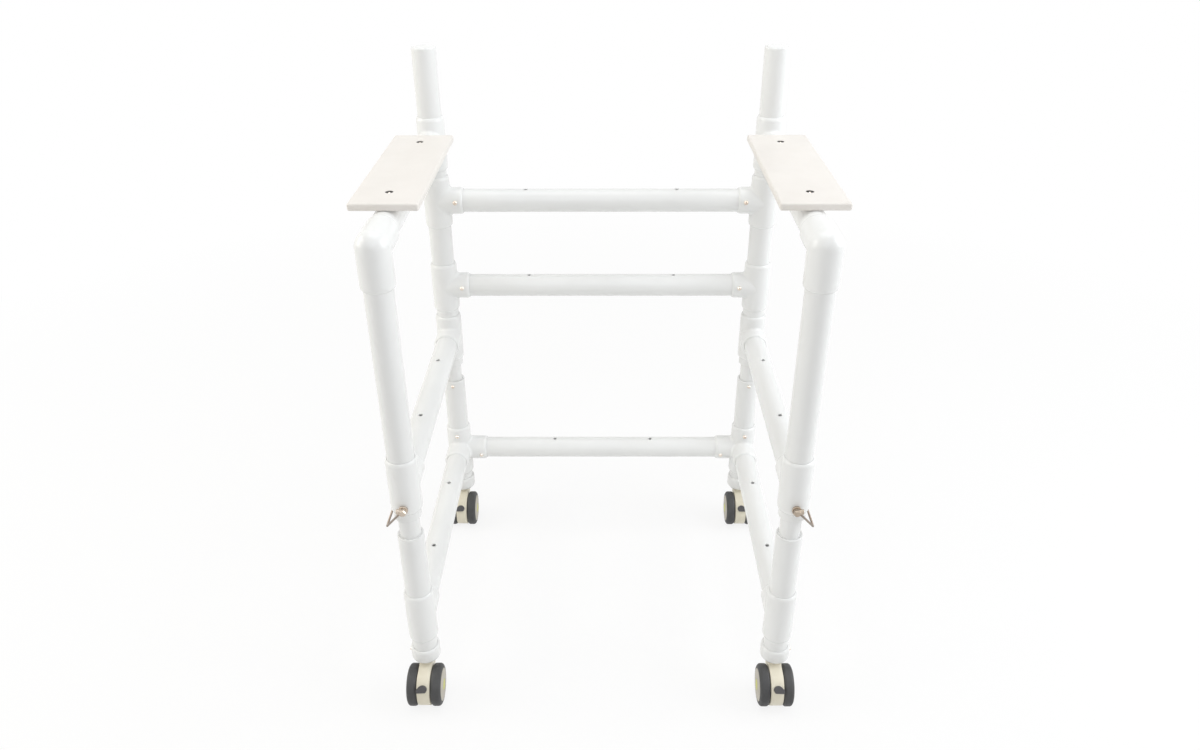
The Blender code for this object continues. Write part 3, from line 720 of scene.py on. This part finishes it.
for end, side in corners:
    x = sides[side] * side_x
    y = ends[end]
    outward = sides[side]
    body = f"caster_{end}_{side}"
    hood_node = [f"caster_hood_{end}_{side}"]
    # Hood
    work = bmesh.new()
    loops = []
    for across, inset in hood_slices:
        loop = []
        for point in hood_outline:
            pulled = point + (hood_centre - point).normalized() * inset
            loop.append(work.verts.new((x + across, y + pulled.x, pulled.y)))
        loops.append(loop)
    skinned(work, loops)
    finished(f"hood_{end}_{side}", work, hood_beige, body, hood_node, crease=40)
    # Axle
    work = bmesh.new()
    turn = Matrix.Translation((x, y - trail, wheel_radius)) @ along((1, 0, 0))
    lathe(work, axle_outline, turn, 32)
    finished(f"axle_{end}_{side}", work, steel_dark, body, hood_node)
    # Pedal: its pad wrapped round the hood, and its arm
    work = bmesh.new()
    loops = []
    for lift, scale in pedal_slices:
        loop = []
        for point in pedal_outline:
            spot = pedal_middle + (point - pedal_middle) * scale
            where = on_drum(pedal_foot - math.degrees(spot.y / pedal_radius), hood_radius + lift)
            loop.append(work.verts.new((x + outward * (hood_half - spot.x), y + where.x, where.y)))
        loops.append(loop)
    skinned(work, loops)
    skinned(work, [
        [work.verts.new((x + across, y + point.x, point.y)) for point in arm_outline]
        for across in (-arm_half, arm_half)
    ])
    finished(f"pedal_{end}_{side}", work, pedal_grey, f"brake_{end}_{side}", [f"brake_pedal_{end}_{side}"])
    # Wheels
    for which, sign in (("outer", outward), ("inner", -outward)):
        turn = Matrix.Translation((x + sign * wheel_start, y - trail, wheel_radius)) @ along((sign, 0, 0))
        wheel_body = f"wheel_{which}_{end}_{side}"
        work = bmesh.new()
        lathe(work, tread_outline, turn, 96, ring=True)
        finished(f"tread_{which}_{end}_{side}", work, tread_grey, wheel_body, [wheel_body])
        work = bmesh.new()
        lathe(work, rim_outline, turn, 72)
        lathe(work, [(disc_radius, 0.001), (axle_bore, 0.001)], turn, 72)
        finished(f"rim_{which}_{end}_{side}", work, rim_tan, wheel_body, [wheel_body])
        work = bmesh.new()
        lathe(work, cover_outline, turn, 48)
        finished(f"hub_cover_{which}_{end}_{side}", work, hub_lime, wheel_body, [wheel_body])


# Lock pins. A plated steel pin with a hexagon head and a round collar passes through hub, sleeve and inner
# tube. A springy wire bail from its head reaches round the leg and hooks over the pin's tail.

pin_rose = moulded("pin_steel", (0.62, 0.54, 0.46), (0.42, 0.35, 0.28), 0.20, 0.08, 500, 0.10, metallic=1.0)
wire_steel = moulded("wire_steel", (0.35, 0.29, 0.24), (0.23, 0.185, 0.15), 0.32, 0.08, 500, 0.12,
                     metallic=1.0)
tail = fitting_radius + 0.0169
pin_seat = 0.0250
pin_radius = 0.0040
collar_radius = 0.0074
hex_radius = 0.0066
hex_turn = 12
pin_head = 0.012
pin_top = pin_seat + pin_head
boss_middle = pin_seat + pin_head / 2
boss_rise = 0.0008
boss_radius = 0.0042
pin_outline = eased([
    ((0, -tail), 0), ((0.0034, -tail), 0.0008), ((pin_radius, -tail + 0.0012), 0.0004),
    ((pin_radius, pin_seat), 0), ((collar_radius, pin_seat), 0.0006),
    ((collar_radius, pin_seat + 0.0032), 0.0006), ((0.0058, pin_seat + 0.0034), 0),
])
hex_outline = eased([
    ((0.0050, pin_seat + 0.0030), 0), ((hex_radius, pin_seat + 0.0036), 0.0005),
    ((hex_radius, pin_top - 0.0024), 0.0008), ((0.0046, pin_top), 0.0004),
    ((0.0030, pin_top - 0.0006), 0.0002), ((0, pin_top - 0.0006), 0),
])
boss_outline = eased([
    ((0, 0.002), 0), ((boss_radius, 0.002), 0), ((boss_radius, 0.0098), 0.0008), ((0.0026, 0.0098), 0.0003),
    ((0.0022, 0.0090), 0), ((0, 0.0090), 0),
])

# Bail's route from the pin's head to its tail. Each place is (along the pin, down the slope, off the slope).
wire_radius = 0.0018
bail_angle = math.radians(61.4)
hook = -(tail + 0.0006 + wire_radius)
bail_route = eased([
    ((boss_middle, -0.004, -0.004), 0), ((boss_middle, 0.008, 0.0035), 0.003),
    ((0.001, 0.0620, 0.0067), 0.004), ((-0.003, 0.0648, 0.006), 0.004), ((-0.007, 0.0620, 0.0067), 0.004),
    ((hook + 0.008, 0.026, 0.011), 0.010), ((hook, 0.012, 0.006), 0.006), ((hook, -0.005, 0), 0),
], 8)

for end, side in corners:
    x = sides[side] * side_x
    y = ends[end]
    way = -inner_way[end]
    turn = Matrix.Translation((x, y, pin_z)) @ along((0, way, 0))
    boss = Matrix.Translation((x, y + way * boss_middle, pin_z + boss_rise)) @ along((sides[side], 0, 0))
    work = bmesh.new()
    lathe(work, pin_outline, turn, 48)
    lathe(work, hex_outline, turn @ Matrix.Rotation(math.radians(hex_turn), 4, "Z"), 6)
    lathe(work, boss_outline, boss, 24)
    finished(f"pin_{end}_{side}", work, pin_rose, f"pin_{end}_{side}", [f"lock_pin_{end}_{side}"],
             crease=25)
    out = Vector((sides[side] * math.cos(bail_angle), 0, -math.sin(bail_angle)))
    lift = Vector((sides[side] * math.sin(bail_angle), 0, math.cos(bail_angle)))
    curve = bpy.data.curves.new(f"bail_{end}_{side}", "CURVE")
    curve.dimensions = "3D"
    curve.bevel_depth = wire_radius
    curve.bevel_resolution = 4
    curve.use_fill_caps = True
    spline = curve.splines.new("POLY")
    spline.points.add(len(bail_route) - 1)
    for point, (ahead, beside, rise) in zip(spline.points, bail_route):
        place = Vector((x, y + way * ahead, pin_z)) + out * beside + lift * rise
        point.co = (*place, 1)
    curve.materials.append(wire_steel)
    bail = bpy.data.objects.new(f"bail_{end}_{side}", curve)
    bpy.context.scene.collection.objects.link(bail)
    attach(bail, f"bail_{end}_{side}")
    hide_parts(f"wire_bail_{end}_{side}")


# The studio. A white paper floor and a white surround, with a warm soft lamp on the left, a stronger cool one
# on the right, and fainter ones above and in front, so that round pipes keep a soft grey core.


def background_rays(nodes, links):
    """1 for the rays that see the background: from the camera, off gloss and metal, and through glass."""
    seen = nodes.new("ShaderNodeLightPath")
    total = seen.outputs["Is Camera Ray"]
    for kind in ("Is Glossy Ray", "Is Transmission Ray"):
        either = nodes.new("ShaderNodeMath")
        either.operation = "MAXIMUM"
        links.new(total, either.inputs[0])
        links.new(seen.outputs[kind], either.inputs[1])
        total = either.outputs["Value"]
    return total


# Floor: paper that is seen as white, a little less near the walker, where it keeps a soft shadow
shadow_reach = 0.5
white_from = 2.4
near_glow = 0.84
floor_radius = 14
floor_drop = 0.0004
floor_material = bpy.data.materials.new("floor_paper")
floor_material.use_nodes = True
nodes = floor_material.node_tree.nodes
links = floor_material.node_tree.links
paper = nodes["Principled BSDF"]
paper.inputs["Base Color"].default_value = (0.88, 0.88, 0.88, 1)
paper.inputs["Roughness"].default_value = 0.9
paper.inputs["Specular IOR Level"].default_value = 0.1
glow = nodes.new("ShaderNodeEmission")
glow.inputs["Strength"].default_value = 1.0
place = nodes.new("ShaderNodeTexCoord")
away = nodes.new("ShaderNodeVectorMath")
away.operation = "LENGTH"
links.new(place.outputs["Object"], away.inputs[0])
spread = nodes.new("ShaderNodeMapRange")
spread.inputs["From Min"].default_value = shadow_reach
spread.inputs["From Max"].default_value = white_from
spread.inputs["To Min"].default_value = near_glow
spread.inputs["To Max"].default_value = 1.0
links.new(away.outputs["Value"], spread.inputs["Value"])
share = nodes.new("ShaderNodeMath")
share.operation = "MULTIPLY"
links.new(background_rays(nodes, links), share.inputs[0])
links.new(spread.outputs["Result"], share.inputs[1])
mix = nodes.new("ShaderNodeMixShader")
links.new(share.outputs["Value"], mix.inputs["Fac"])
links.new(paper.outputs["BSDF"], mix.inputs[1])
links.new(glow.outputs["Emission"], mix.inputs[2])
links.new(mix.outputs["Shader"], nodes["Material Output"].inputs["Surface"])
floor_work = bmesh.new()
bmesh.ops.create_circle(floor_work, cap_ends=True, radius=floor_radius, segments=64)
floor_mesh = bpy.data.meshes.new("floor")
floor_work.to_mesh(floor_mesh)
floor_work.free()
floor_mesh.materials.append(floor_material)
floor = bpy.data.objects.new("floor", floor_mesh)
floor.location = (0, 0, -floor_drop)
bpy.context.scene.collection.objects.link(floor)

# World: a warm grey light, seen as plain white
world_light = 0.39
world = bpy.data.worlds.new("studio")
bpy.context.scene.world = world
world.use_nodes = True
nodes = world.node_tree.nodes
links = world.node_tree.links
light = nodes["Background"]
white = nodes.new("ShaderNodeBackground")
white.inputs["Color"].default_value = (1, 1, 1, 1)
white.inputs["Strength"].default_value = 1.0
light.inputs["Color"].default_value = (1.0, 0.97, 0.91, 1)
light.inputs["Strength"].default_value = world_light
mix = nodes.new("ShaderNodeMixShader")
links.new(background_rays(nodes, links), mix.inputs["Fac"])
links.new(light.outputs["Background"], mix.inputs[1])
links.new(white.outputs["Background"], mix.inputs[2])
links.new(mix.outputs["Shader"], nodes["World Output"].inputs["Surface"])

# Lamps, all turned to the middle of the walker
lamp_target = Vector((0, 0, 0.5))
for name, place, size, power, colour in (
    ("lamp_left", (-2.4, -0.2, 1.7), 1.8, 30, (1.0, 0.98, 0.91)),
    ("lamp_right", (2.4, -0.2, 1.7), 1.8, 41, (0.94, 0.97, 1.0)),
    ("lamp_top", (0, 0.3, 3.2), 2.2, 26, (0.94, 0.97, 1.0)),
    ("lamp_front", (0, -2.6, 2.6), 2.2, 18, (0.88, 0.92, 1.0)),
):
    data = bpy.data.lights.new(name, "AREA")
    data.size = size
    data.energy = power
    data.color = colour
    lamp = bpy.data.objects.new(name, data)
    lamp.location = place
    lamp.rotation_euler = (lamp_target - Vector(place)).to_track_quat("-Z", "Y").to_euler()
    bpy.context.scene.collection.objects.link(lamp)

# Camera, fitted to the pipes' edges in the photograph
pitch = 0.5216
yaw = -0.004982
roll = 0.0025736
eye = (0.0065, rear_y - 1.15047, 1.29612)
focal_pixels = 928.184
photo_width = 1200
sensor_width = 36
ahead = Vector((math.sin(yaw) * math.cos(pitch), math.cos(yaw) * math.cos(pitch), -math.sin(pitch)))
right = Vector((math.cos(yaw), -math.sin(yaw), 0))
down = ahead.cross(right)
level = right * math.cos(roll) + down * math.sin(roll)
drop = down * math.cos(roll) - right * math.sin(roll)
camera_data = bpy.data.cameras.new("camera")
camera_data.sensor_width = sensor_width
camera_data.lens = focal_pixels * sensor_width / photo_width
camera = bpy.data.objects.new("camera", camera_data)
camera.matrix_world = Matrix((
    (level.x, -drop.x, -ahead.x, eye[0]),
    (level.y, -drop.y, -ahead.y, eye[1]),
    (level.z, -drop.z, -ahead.z, eye[2]),
    (0, 0, 0, 1),
))
bpy.context.scene.collection.objects.link(camera)
bpy.context.scene.camera = camera
bpy.context.scene.view_settings.view_transform = "Standard"
